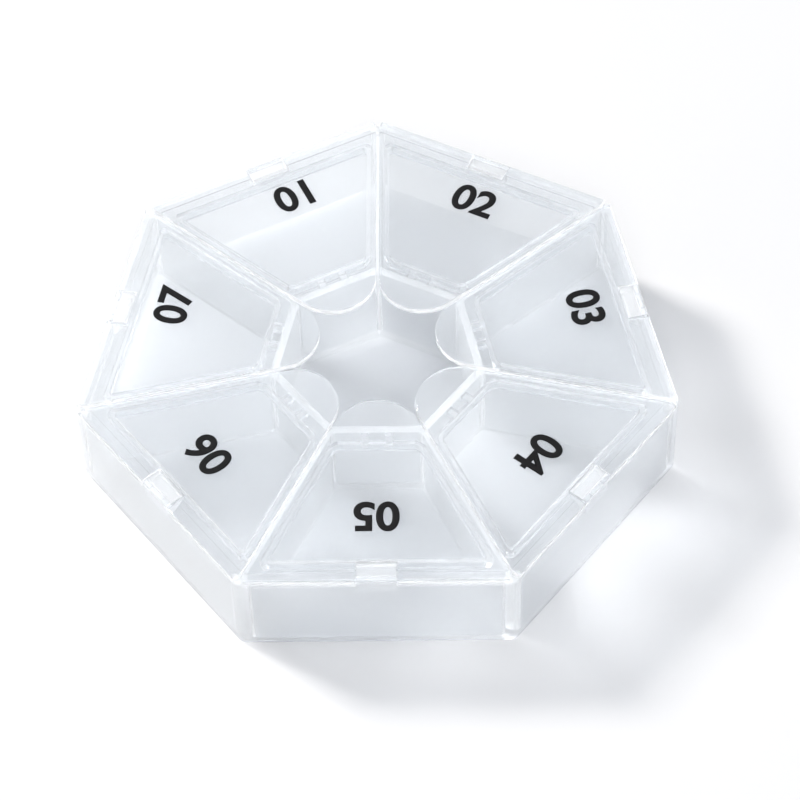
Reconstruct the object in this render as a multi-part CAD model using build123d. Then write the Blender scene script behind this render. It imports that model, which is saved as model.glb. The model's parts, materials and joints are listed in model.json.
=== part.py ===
from build123d import *
import os
from math import cos, degrees, hypot, pi, sin

# A weekly pill box: a seven-sided tray with seven compartments round a finger well, and seven lids.
# Each lid swings on two stub pins, which clip into a knuckle at the middle of its side of the tray.
# Origin: on the box's axis, in the plane it stands on. +Z is up, and one corner points back, to +Y.
# A lid is drawn with its side facing +X, and then turned to its place round the axis.

# Driving dimensions in millimetres: the whole box
SIDE_COUNT = 7
outer_circumradius = 51.0
overall_height = 18.0
outer_corner_radius = 2.0

# The tray
floor_thickness = 1.0
outer_wall = 1.0
divider_wall = 1.2
well_apothem = 15.2
well_wall = 1.3
pocket_corner_radius = 0.8
well_floor_bevel = 0.8
base_edge_bevel = 0.2
wall_top_bevel = 0.2

# The lid plate and its rounded tip over the finger well
lid_thickness = 1.1
lid_gap = 0.5
lid_rest_gap = 0.1
lid_edge_radius = 0.3
tip_reach = 10.1

# The hinge: a rounded rail along the lid's outer edge, two stub pins, and the tray's knuckle between them
rail_radius = 0.7
rail_width = 2.0
rail_gap = 0.15
knuckle_width = 6.4
knuckle_side_gap = 0.2
knuckle_back_gap = 0.3
knuckle_face = 1.8
knuckle_edge_bevel = 0.3
pin_radius = 0.4
pin_length = 1.6
pin_clearance = 0.05

# The plug rim under the lid, and the two snap nubs that grip the well wall
rim_setback = 3.65
rim_side_setback = 1.2
rim_wall = 0.8
rim_depth = 1.7
rim_corner_bevel = 1.0
rim_well_gap = 1.7
nub_width = 1.3
nub_pitch = 3.9
nub_depth = 1.3
nub_clearance = 0.15

# What follows from them
half_angle = pi / SIDE_COUNT
outer_apothem = outer_circumradius * cos(half_angle)
well_face = well_apothem + well_wall
lid_underside = overall_height - lid_thickness
support_top = lid_underside - lid_rest_gap
axis_x = outer_apothem - rail_radius
axis_z = overall_height - rail_radius
rail_bottom = axis_z - rail_radius
rail_inner_x = outer_apothem - rail_width
rail_sweep = hypot(axis_x - rail_inner_x, rail_radius)
wall_top = rail_bottom - rail_gap
knuckle_depth = rim_setback - knuckle_back_gap
notch_half_width = knuckle_width / 2 + knuckle_side_gap
rim_outer_x = outer_apothem - rim_setback
rim_inner_x = well_face + rim_well_gap


def side_at(x, setback):
    """Half the width, at a distance x from the axis, of a sector whose two sides are set back."""
    return (x * sin(half_angle) - setback) / cos(half_angle)


def heptagon(apothem):
    """A regular outline with a corner at the back, given by the distance from its middle to a side."""
    return RegularPolygon(apothem / cos(half_angle), SIDE_COUNT, rotation=90)


def sector(inner_x, outer_x, setback):
    """The four-sided outline of a compartment or a plug rim."""
    inner_half = side_at(inner_x, setback)
    outer_half = side_at(outer_x, setback)
    corners = [(inner_x, -inner_half), (outer_x, -outer_half), (outer_x, outer_half), (inner_x, inner_half)]
    return make_face(Polyline(*corners, close=True))


def raised(outline, bottom, top):
    """An upright solid on an outline, between two heights."""
    return extrude(Pos(0, 0, bottom) * outline, top - bottom)


def pocket(outline):
    """The hollow over an outline, from the floor up, with rounded upright corners."""
    return raised(fillet(outline.vertices(), pocket_corner_radius), floor_thickness, overall_height)


def side_angles():
    """The directions in which the sides face, from the back left one, clockwise seen from above."""
    first = 90 + degrees(half_angle)
    return [first - turn * 360 / SIDE_COUNT for turn in range(SIDE_COUNT)]


def along_side(radius, start, length):
    """A round bar on the hinge line, from a place along the side."""
    return Pos(axis_x, start + length / 2, axis_z) * Rot(90, 0, 0) * Cylinder(radius, length)


def knuckle():
    """The block that stands on the tray's wall, rounded and bored along the hinge line for the stub pins."""
    back_x = outer_apothem - knuckle_depth
    wall_x = outer_apothem - outer_wall
    face_bottom = overall_height - knuckle_face
    foot = face_bottom - (wall_x - back_x)
    corners = [
        (outer_apothem, foot),
        (outer_apothem, overall_height),
        (back_x, overall_height),
        (back_x, face_bottom),
        (wall_x, foot),
    ]
    profile = make_face(Polyline(*corners, close=True))
    crown = profile.vertices().sort_by(Axis.Y)[-2:].sort_by(Axis.X)
    profile = fillet(crown[1], rail_radius)
    crown = profile.vertices().sort_by(Axis.X)[:2].sort_by(Axis.Y)
    profile = chamfer(crown[1], knuckle_edge_bevel)
    block = extrude(Plane.XZ * profile, knuckle_width / 2, both=True)
    return block - along_side(pin_radius + pin_clearance, -knuckle_width / 2, knuckle_width)


def tray():
    """The moulded tray: floor, outer wall, dividers, finger well and hinge knuckles."""
    outline = heptagon(outer_apothem)
    shell = raised(fillet(outline.vertices(), outer_corner_radius), 0, wall_top)
    shell = chamfer(shell.edges().group_by(Axis.Z)[0], base_edge_bevel)
    shell = chamfer(shell.edges().group_by(Axis.Z)[-1], wall_top_bevel)
    shell += raised(heptagon(axis_x - rail_sweep - rail_gap), floor_thickness, support_top)
    well = pocket(heptagon(well_apothem))
    shell -= chamfer(well.edges().group_by(Axis.Z)[0], well_floor_bevel)
    compartment = pocket(sector(well_face, outer_apothem - outer_wall, divider_wall / 2))
    hinge_block = knuckle()
    for angle in side_angles():
        shell -= Rot(0, 0, angle) * compartment
    for angle in side_angles():
        shell += Rot(0, 0, angle) * hinge_block
    return shell


def lid_plate():
    """The flat lid, with a rail along the hinge line, rounded to a tip over the finger well."""
    setback = lid_gap / 2
    tip_centre = (tip_reach - setback) / (1 - sin(half_angle))
    tip_radius = tip_centre - tip_reach
    tangent_x = tip_centre - tip_radius * sin(half_angle)
    tangent_y = tip_radius * cos(half_angle)
    far_x = outer_apothem + rail_radius
    far_y = side_at(far_x, setback)
    sides = Polyline((tangent_x, tangent_y), (far_x, far_y), (far_x, -far_y), (tangent_x, -tangent_y))
    tip = ThreePointArc((tangent_x, -tangent_y), (tip_reach, 0), (tangent_x, tangent_y))
    outline = make_face(sides.edges() + tip.edges())

    flats = Polyline(
        (axis_x, rail_bottom),
        (rail_inner_x, rail_bottom),
        (rail_inner_x, lid_underside),
        (0, lid_underside),
        (0, overall_height),
        (axis_x, overall_height),
    )
    rounding = ThreePointArc((axis_x, overall_height), (outer_apothem, axis_z), (axis_x, rail_bottom))
    section = make_face(flats.edges() + rounding.edges())
    rail_half_length = side_at(axis_x - rail_radius, setback)
    railed = extrude(Plane.XZ * section, rail_half_length, both=True)

    plate = railed & raised(outline, 0, overall_height + rail_radius)
    top_edges = plate.edges().group_by(Axis.Z)[-1]
    free_edges = [edge for edge in top_edges if edge.center().X < rail_inner_x]
    return fillet(free_edges, lid_edge_radius)


def plug_rim():
    """The upright rim under the lid, which drops into the compartment, with its two snap nubs."""
    outline = sector(rim_inner_x, rim_outer_x, rim_side_setback)
    inside = sector(rim_inner_x + rim_wall, rim_outer_x - rim_wall, rim_side_setback + rim_wall)
    outline = chamfer(outline.vertices(), rim_corner_bevel)
    inside = chamfer(inside.vertices(), rim_corner_bevel - rim_wall / 2)
    root = lid_underside + lid_thickness / 4
    rim = raised(outline - inside, lid_underside - rim_depth, root)
    nub_start = well_face + nub_clearance
    nub_end = rim_inner_x + rim_wall / 2
    nub_outline = Rectangle(nub_end - nub_start, nub_width)
    for place in (-nub_pitch / 2, nub_pitch / 2):
        middle = Pos((nub_start + nub_end) / 2, place)
        rim += raised(middle * nub_outline, lid_underside - nub_depth, root)
    return rim


def lid():
    """One lid: plate and rail, notched round the knuckle, with the plug rim and the two stub pins."""
    notch_length = 2 * rim_setback
    notch = Pos(rim_outer_x + notch_length / 2, 0, axis_z) * Box(
        notch_length, 2 * notch_half_width, 2 * overall_height
    )
    moulding = lid_plate() + plug_rim() - notch
    reach = pin_length + knuckle_side_gap
    moulding += along_side(pin_radius, notch_half_width - reach, reach)
    moulding += along_side(pin_radius, -notch_half_width, reach)
    return moulding


os.makedirs("parts", exist_ok=True)
export_step(tray(), "parts/tray.step")
pattern = lid()
for number, angle in enumerate(side_angles(), start=1):
    export_step(Rot(0, 0, angle) * pattern, f"parts/lid_{number}.step")
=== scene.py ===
# %% [markdown]
# # A weekly pill box in clear plastic
# The box is moulded in clear, slightly milky polypropylene: one tray with seven compartments round a finger
# well, and seven flat lids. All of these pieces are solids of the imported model, so this lesson keeps their
# shapes and gives them their finish. It adds only the numbers printed on the lids, and a small studio.

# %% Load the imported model
import json
from math import atan2, cos, degrees, exp, radians, sin

import bpy
from mathutils import Matrix, Vector


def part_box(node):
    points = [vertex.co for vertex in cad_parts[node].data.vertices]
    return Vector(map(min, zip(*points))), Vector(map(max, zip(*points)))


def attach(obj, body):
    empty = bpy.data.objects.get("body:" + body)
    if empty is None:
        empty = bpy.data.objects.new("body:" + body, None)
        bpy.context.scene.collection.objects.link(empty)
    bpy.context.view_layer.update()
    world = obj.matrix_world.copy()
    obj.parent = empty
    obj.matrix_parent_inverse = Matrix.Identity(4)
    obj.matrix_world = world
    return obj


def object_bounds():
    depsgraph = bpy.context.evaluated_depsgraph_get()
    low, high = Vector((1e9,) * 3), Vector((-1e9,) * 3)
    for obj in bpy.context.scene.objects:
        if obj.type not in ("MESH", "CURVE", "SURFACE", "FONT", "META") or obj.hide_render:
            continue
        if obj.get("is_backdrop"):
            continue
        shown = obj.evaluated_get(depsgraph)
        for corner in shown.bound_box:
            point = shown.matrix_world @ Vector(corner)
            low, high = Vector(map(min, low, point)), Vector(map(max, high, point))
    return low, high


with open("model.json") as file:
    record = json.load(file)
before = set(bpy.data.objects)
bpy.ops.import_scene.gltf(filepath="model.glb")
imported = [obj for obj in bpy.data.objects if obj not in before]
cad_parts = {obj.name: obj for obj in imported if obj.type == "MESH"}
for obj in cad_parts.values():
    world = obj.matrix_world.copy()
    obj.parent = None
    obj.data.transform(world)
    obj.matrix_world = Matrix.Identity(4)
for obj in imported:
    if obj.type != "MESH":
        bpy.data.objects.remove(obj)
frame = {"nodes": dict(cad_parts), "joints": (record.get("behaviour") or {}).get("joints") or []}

CAD_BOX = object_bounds()
MM = 0.001
lids = sorted(name for name in frame["nodes"] if name.startswith("lid_"))
print("nodes:", sorted(frame["nodes"]))

# %% [markdown]
# ## Sizes that the frame gives
# The lids' flat tops are the highest faces of the box, so its height is the top of any lid. The fifth side faces
# straight to the front, so the front of its lid tells how far every side lies from the middle. Each hinge lies on
# the middle line of its side, so its place also tells in which direction the lid faces. Reading these from the
# frame, and not typing them in, keeps the print in place if the box is made in another size.

# %% Read the sizes from the frame
LID_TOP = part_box("lid_5")[1].z
SIDE_DISTANCE = -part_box("lid_5")[0].y
hinges = {joint["child"]: joint for joint in frame["joints"]}


def side_direction(lid):
    """The angle, round the upright axis, in which this lid's side faces."""
    place = hinges[lid]["pos_m"]
    return atan2(place[1], place[0])


print("lid top %.1f mm, sides %.1f mm from the middle" % (LID_TOP / MM, SIDE_DISTANCE / MM))
print("sides face", [round(degrees(side_direction(lid)), 1) for lid in lids])

# %% [markdown]
# ## A bare material
# A new material comes with a shader already in it. Here each finish builds its own, so this helper clears the
# node tree and leaves only the output.

# %% Start a material
def new_material(name):
    """A material with an empty node tree, and its output node."""
    material = bpy.data.materials.new(name)
    material.use_nodes = True
    tree = material.node_tree
    tree.nodes.clear()
    return material, tree, tree.nodes.new("ShaderNodeOutputMaterial")


print("materials so far:", len(bpy.data.materials))

# %% [markdown]
# ## A surface that isn't perfect
# A moulded surface is never quite even: it has slow waves where the plastic shrank, and a fine grain from the
# mould. An image could show them, but it would need a layout of every face. Noise textures on Object coordinates
# need none, and their pattern stays on a lid when it swings.

# %% Make a noise
WAVE_SCALE, WAVE_DETAIL = 60, 2
GRAIN_SCALE, GRAIN_DETAIL = 2500, 3


def noise(tree, scale, detail):
    """A noise texture on Object coordinates, which are metres, as a value from 0 to 1."""
    place = tree.nodes.new("ShaderNodeTexCoord")
    texture = tree.nodes.new("ShaderNodeTexNoise")
    texture.inputs["Scale"].default_value = scale
    texture.inputs["Detail"].default_value = detail
    tree.links.new(place.outputs["Object"], texture.inputs["Vector"])
    return texture.outputs["Fac"]


print("waves of about %.0f mm, grain of about %.1f mm" % (1 / WAVE_SCALE / MM, 1 / GRAIN_SCALE / MM))

# %% [markdown]
# ## Three uses of a noise
# One noise can drive a value, a colour or a relief. The plastics and the ink below use all three. Gloss and tint
# follow the same noise, so that they change together, as they do where a real surface is worn or wavy.

# %% Turn a noise into a value, a colour and a relief
def spread(tree, source, low, high):
    """Maps a noise on to a range of values."""
    ramp = tree.nodes.new("ShaderNodeMapRange")
    ramp.inputs["To Min"].default_value = low
    ramp.inputs["To Max"].default_value = high
    tree.links.new(source, ramp.inputs["Value"])
    return ramp.outputs["Result"]


def tint(tree, source, first, second):
    """A colour between two, by a noise."""
    mix = tree.nodes.new("ShaderNodeMix")
    mix.data_type = "RGBA"
    mix.inputs["A"].default_value = (*first, 1)
    mix.inputs["B"].default_value = (*second, 1)
    tree.links.new(source, mix.inputs["Factor"])
    return mix.outputs["Result"]


def bump(tree, height, strength, distance):
    """A normal that follows a height texture."""
    node = tree.nodes.new("ShaderNodeBump")
    node.inputs["Strength"].default_value = strength
    node.inputs["Distance"].default_value = distance
    tree.links.new(height, node.inputs["Height"])
    return node.outputs["Normal"]


print("helpers:", spread.__name__, tint.__name__, bump.__name__)

# %% [markdown]
# ## Milky clear plastic
# Polypropylene lets most of the light through and scatters a little of it on the way. That is why a thin wall
# looks clear, and the same wall looks white where it is seen end on. A single glass shader would stay clear all
# through, so three layers make it here. A Principled shader with a high Transmission Weight bends the light as a
# solid does, and the rest of it is the fine white bloom on the surface. A Volume Scatter fills the solid with
# haze, so that a longer way through it is whiter. For the rays that look for a lamp, a Transparent shader takes
# the Principled shader's place, because those rays can't bend: each face lets most of the light into the box, and
# the table under the box gets a pale shadow.

# %% A recipe for the plastic
PLASTIC_IOR = 1.49
FACE_PASSES = (0.9, 0.912, 0.928)
HAZE_COLOUR = (0.997, 0.998, 1.0, 1)
TRAY_HAZE, LID_HAZE = 150, 100
GRAIN_STRENGTH, GRAIN_DEPTH = 0.04, 0.02 * MM


def clear_plastic(name, tints, clearness, roughness, haze):
    """Clear polypropylene, from its two tints, the clear share of its faces, their roughness and its haze."""
    material, tree, output = new_material(name)
    shader = tree.nodes.new("ShaderNodeBsdfPrincipled")
    shader.inputs["IOR"].default_value = PLASTIC_IOR
    shader.inputs["Transmission Weight"].default_value = clearness
    waves = noise(tree, WAVE_SCALE, WAVE_DETAIL)
    grain = noise(tree, GRAIN_SCALE, GRAIN_DETAIL)
    tree.links.new(tint(tree, waves, *tints), shader.inputs["Base Color"])
    tree.links.new(spread(tree, waves, *roughness), shader.inputs["Roughness"])
    tree.links.new(bump(tree, grain, GRAIN_STRENGTH, GRAIN_DEPTH), shader.inputs["Normal"])

    milk = tree.nodes.new("ShaderNodeVolumeScatter")
    milk.inputs["Color"].default_value = HAZE_COLOUR
    milk.inputs["Density"].default_value = haze
    tree.links.new(milk.outputs["Volume"], output.inputs["Volume"])

    through = tree.nodes.new("ShaderNodeBsdfTransparent")
    through.inputs["Color"].default_value = (*(clearness * share for share in FACE_PASSES), 1)
    path = tree.nodes.new("ShaderNodeLightPath")
    mix = tree.nodes.new("ShaderNodeMixShader")
    tree.links.new(path.outputs["Is Shadow Ray"], mix.inputs["Fac"])
    tree.links.new(shader.outputs["BSDF"], mix.inputs[1])
    tree.links.new(through.outputs["BSDF"], mix.inputs[2])
    tree.links.new(mix.outputs["Shader"], output.inputs["Surface"])
    return material


for haze in (TRAY_HAZE, LID_HAZE):
    print("a haze of %d scatters %.0f%% of the light in a millimetre" % (haze, 100 * (1 - exp(-haze * MM))))

# %% [markdown]
# ## The tray and the lids
# The lids are polished flat, and the tray's faces are a little duller, so each gets its own mix of the same
# recipe. A finish goes into the material slots that the solids already have, and their shapes stay as they are.

# %% Finish the tray and the lids
TRAY_TINTS = (0.9, 0.915, 0.93), (0.885, 0.9, 0.917)
LID_TINTS = (0.925, 0.94, 0.955), (0.91, 0.927, 0.942)
TRAY_CLEARNESS, LID_CLEARNESS = 0.8, 0.94
TRAY_ROUGHNESS, LID_ROUGHNESS = (0.12, 0.2), (0.03, 0.06)

milky_tray = clear_plastic("milky_tray", TRAY_TINTS, TRAY_CLEARNESS, TRAY_ROUGHNESS, TRAY_HAZE)
milky_lid = clear_plastic("milky_lid", LID_TINTS, LID_CLEARNESS, LID_ROUGHNESS, LID_HAZE)


def finish(node, material):
    """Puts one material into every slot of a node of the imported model."""
    slots = frame["nodes"][node].material_slots
    for place in slots:
        place.material = material
    print(node, "has", len(slots), "slot of", material.name)


finish("tray", milky_tray)
for lid in lids:
    finish(lid, milky_lid)

# %% [markdown]
# ## Black ink
# Each lid carries a number in heavy black ink, put there with a soft printing pad. Such ink is thin and nearly
# matt, with a slightly uneven gloss. A plain black would look like a hole in the lid, so a noise drives its
# colour, its roughness and a slight relief.

# %% Make the ink
INK_TINTS = (0.002, 0.002, 0.002), (0.012, 0.012, 0.013)
INK_ROUGHNESS = (0.45, 0.7)
INK_SHEEN = 0.15
SPOT_SCALE, SPOT_DETAIL = 1800, 4
SPOT_STRENGTH, SPOT_DEPTH = 0.1, 0.02 * MM


def ink(name):
    """Black printing ink: nearly matt, with a slightly uneven gloss and thin spots."""
    material, tree, output = new_material(name)
    shader = tree.nodes.new("ShaderNodeBsdfPrincipled")
    shader.inputs["Specular IOR Level"].default_value = INK_SHEEN
    spots = noise(tree, SPOT_SCALE, SPOT_DETAIL)
    tree.links.new(tint(tree, spots, *INK_TINTS), shader.inputs["Base Color"])
    tree.links.new(spread(tree, spots, *INK_ROUGHNESS), shader.inputs["Roughness"])
    tree.links.new(bump(tree, spots, SPOT_STRENGTH, SPOT_DEPTH), shader.inputs["Normal"])
    tree.links.new(shader.outputs["BSDF"], output.inputs["Surface"])
    return material


print_ink = ink("print_ink")
print("made", print_ink.name)

# %% [markdown]
# ## A number on each lid
# The number stands with its top towards the outer edge. Digits could be drawn as curves, but a text object is the
# quicker way to good ones. A bevel makes them bold, and the mesh is then pressed flat to the height of a layer of
# ink. The text is made a mesh first, and the mesh, not the object, is moved and turned, so that the finished print
# sits at the origin, as the solids do. A hand-fed press never prints quite in the middle, so each number has its
# own place, measured in millimetres from the outer face and along it.

# %% Print the numbers
DIGIT_HEIGHT = 5.4 * MM
DIGIT_SHARE = 0.7
INK_HEIGHT = 0.02 * MM
STROKE_GROWTH = 0.22 * MM
PRINT_PLACES = {
    "lid_1": (9.8, 2.0),
    "lid_2": (10.2, 1.1),
    "lid_3": (10.3, -0.4),
    "lid_4": (12.1, 0.5),
    "lid_5": (12.6, 0.1),
    "lid_6": (11.7, 0.6),
    "lid_7": (10.6, 2.0),
}


def printed_number(lid, number):
    """A flat number on a lid, its top towards the outer edge, as one mesh at the origin."""
    bpy.ops.object.select_all(action="DESELECT")
    bpy.ops.object.text_add()
    piece = bpy.context.object
    piece.name = f"print_{number}"
    text = piece.data
    text.body = f"{number:02d}"
    text.align_x = "CENTER"
    text.align_y = "CENTER"
    text.size = DIGIT_HEIGHT / DIGIT_SHARE
    text.bevel_depth = STROKE_GROWTH
    text.bevel_resolution = 0
    bpy.ops.object.convert(target="MESH")
    setback, along = (value * MM for value in PRINT_PLACES[lid])
    press = Matrix.Diagonal((1, 1, INK_HEIGHT / (2 * STROKE_GROWTH), 1))
    spot = Matrix.Translation((along, SIDE_DISTANCE - setback, LID_TOP + INK_HEIGHT / 2))
    face = Matrix.Rotation(side_direction(lid) - radians(90), 4, "Z")
    piece.data.transform(face @ spot @ press)
    piece.data.materials.clear()
    piece.data.materials.append(print_ink)
    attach(piece, lid)
    return piece


for number, lid in enumerate(lids, start=1):
    piece = printed_number(lid, number)
    print(piece.name, "rides on", lid, "with", len(piece.data.polygons), "faces")

# %% [markdown]
# ## The table
# The box stands on a pale table that runs out of the picture. It lies a hair below the base, as a moulded base is
# never quite flat, and so that the two faces don't share one plane, which would leave blotches.

# %% Set the table
TABLE_SIZE = 6
TABLE_DROP = 0.05 * MM
PAPER_TINTS = (0.66, 0.66, 0.665), (0.65, 0.65, 0.655)
FLECK_SCALE, FLECK_DETAIL = 30, 3

bpy.ops.object.select_all(action="DESELECT")
bpy.ops.mesh.primitive_plane_add(size=TABLE_SIZE, location=(0, 0, -TABLE_DROP))
table = bpy.context.object
table.name = "table"
pale_paper, tree, output = new_material("pale_paper")
shader = tree.nodes.new("ShaderNodeBsdfDiffuse")
fleck = noise(tree, FLECK_SCALE, FLECK_DETAIL)
tree.links.new(tint(tree, fleck, *PAPER_TINTS), shader.inputs["Color"])
tree.links.new(shader.outputs["BSDF"], output.inputs["Surface"])
table.data.materials.append(pale_paper)
table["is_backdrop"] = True
print("table", table.dimensions[:])

# %% [markdown]
# ## Lamps
# A lamp at the back left, not very high, throws the shadow to the right and the front. It is small enough to leave
# the shadow an edge. A larger one near the camera lights the walls that face it, and three weak ones fill the top
# and the sides. The plastic's Transparent shader already lets the lamps through, so rays that were bent on their
# way don't see the lamps again.

# %% Hang the lamps
WARM, WHITE = (1.02, 0.995, 0.965), (1.0, 1.0, 1.0)


def soft_lamp(name, turn, rise, distance, size, power, colour):
    """A square lamp, in metres and watts, that shines on the box from a direction, two angles in degrees."""
    lamp = bpy.data.lights.new(name, "AREA")
    lamp.size = size
    lamp.energy = power
    lamp.color = colour
    holder = bpy.data.objects.new(name, lamp)
    bpy.context.scene.collection.objects.link(holder)
    level = cos(radians(rise))
    direction = Vector((cos(radians(turn)) * level, sin(radians(turn)) * level, sin(radians(rise))))
    holder.location = direction * distance
    holder.rotation_euler = direction.to_track_quat("Z", "Y").to_euler()
    holder.visible_transmission = False
    print(name, "at", [round(v, 2) for v in holder.location])


soft_lamp("key", 147, 35, 2.4, 0.45, 62, WARM)
soft_lamp("fill", -85, 48, 2.0, 1.0, 16.5, WHITE)
soft_lamp("top", 90, 85, 2.0, 1.0, 2, WHITE)
soft_lamp("left", 195, 20, 2.0, 1.5, 5, WHITE)
soft_lamp("right", 10, 20, 2.0, 1.5, 4, WHITE)

# %% [markdown]
# ## Sky
# A faintly blue sky stands for the room round the table. It is what the plastic mirrors and bends, and it tints
# the shadow. An even sky would leave clear walls without an outline, so this one is darker towards the horizon. It
# has no bright spot, so there is nothing in it to aim light rays at.

# %% Grade the sky from the horizon to the zenith
SKY_COLOUR = (0.945, 0.98, 1.045, 1)
HORIZON, ZENITH = 0.155, 0.73

sky = bpy.data.worlds.new("sky")
bpy.context.scene.world = sky
sky.use_nodes = True
sky.cycles.sampling_method = "NONE"
dome = sky.node_tree
background = dome.nodes["Background"]
background.inputs["Color"].default_value = SKY_COLOUR
aim = dome.nodes.new("ShaderNodeTexCoord")
height = dome.nodes.new("ShaderNodeSeparateXYZ")
grade = dome.nodes.new("ShaderNodeMapRange")
grade.inputs["To Min"].default_value = HORIZON
grade.inputs["To Max"].default_value = ZENITH
dome.links.new(aim.outputs["Generated"], height.inputs["Vector"])
dome.links.new(height.outputs["Z"], grade.inputs["Value"])
dome.links.new(grade.outputs["Result"], background.inputs["Strength"])
print("sky strength from", HORIZON, "to", ZENITH)

# %% [markdown]
# ## Camera
# The camera looks down on the box from the front, from about half a metre, turned and tilted a little. Its axes
# are built from those angles one by one: to the right, up and back.

# %% Place the camera
VIEW_TURN = radians(1.34)
VIEW_RISE = radians(53.4)
VIEW_ROLL = radians(-1.74)
VIEW_DISTANCE = 571.8 * MM
VIEW_SHIFT = (3.56 * MM, 2.26 * MM)
NEAR_LIMIT = 10 * MM
LENS = 150.84
SENSOR = 36

turn = Matrix.Rotation(VIEW_TURN, 3, "Z")
right = turn @ Vector((1, 0, 0))
up = turn @ Vector((0, sin(VIEW_RISE), cos(VIEW_RISE)))
back = turn @ Vector((0, -cos(VIEW_RISE), sin(VIEW_RISE)))
stand = right * VIEW_SHIFT[0] + up * VIEW_SHIFT[1] + back * VIEW_DISTANCE
tilted_right = cos(VIEW_ROLL) * right + sin(VIEW_ROLL) * up
tilted_up = cos(VIEW_ROLL) * up - sin(VIEW_ROLL) * right
lens = bpy.data.cameras.new("camera")
lens.lens = LENS
lens.sensor_width = SENSOR
lens.clip_start = NEAR_LIMIT
camera = bpy.data.objects.new("camera", lens)
bpy.context.scene.collection.objects.link(camera)
facing = Matrix((tilted_right, tilted_up, back)).transposed().to_4x4()
camera.matrix_world = Matrix.Translation(stand) @ facing
bpy.context.scene.camera = camera
print("camera at", [round(v / MM) for v in stand], "mm")

# %% [markdown]
# ## Light paths
# Light bounces many times between the thin clear walls before it leaves them. With too few bounces it would stop
# inside, and the edges would turn black. The Standard view keeps the pale tones as pale as they are.

# %% Allow many bounces
CLEAR_BOUNCES, HAZE_BOUNCES = 64, 16

scene = bpy.context.scene
scene.view_settings.view_transform = "Standard"
scene.view_settings.look = "None"
scene.cycles.max_bounces = CLEAR_BOUNCES
scene.cycles.glossy_bounces = CLEAR_BOUNCES
scene.cycles.transmission_bounces = CLEAR_BOUNCES
scene.cycles.transparent_max_bounces = CLEAR_BOUNCES
scene.cycles.volume_bounces = HAZE_BOUNCES
scene.cycles.use_denoising = True
print("up to", scene.cycles.max_bounces, "bounces")

# %% [markdown]
# ## The size of the dressed box
# The print lies within a hair of the lids, so the dressed box has to keep the size of the imported model. Both
# boxes are printed, so that they can be compared.

# %% Print both boxes
boxes = {"cad": CAD_BOX, "visual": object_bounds()}
boxes = {name: [list(corner) for corner in box] for name, box in boxes.items()}
print(boxes)
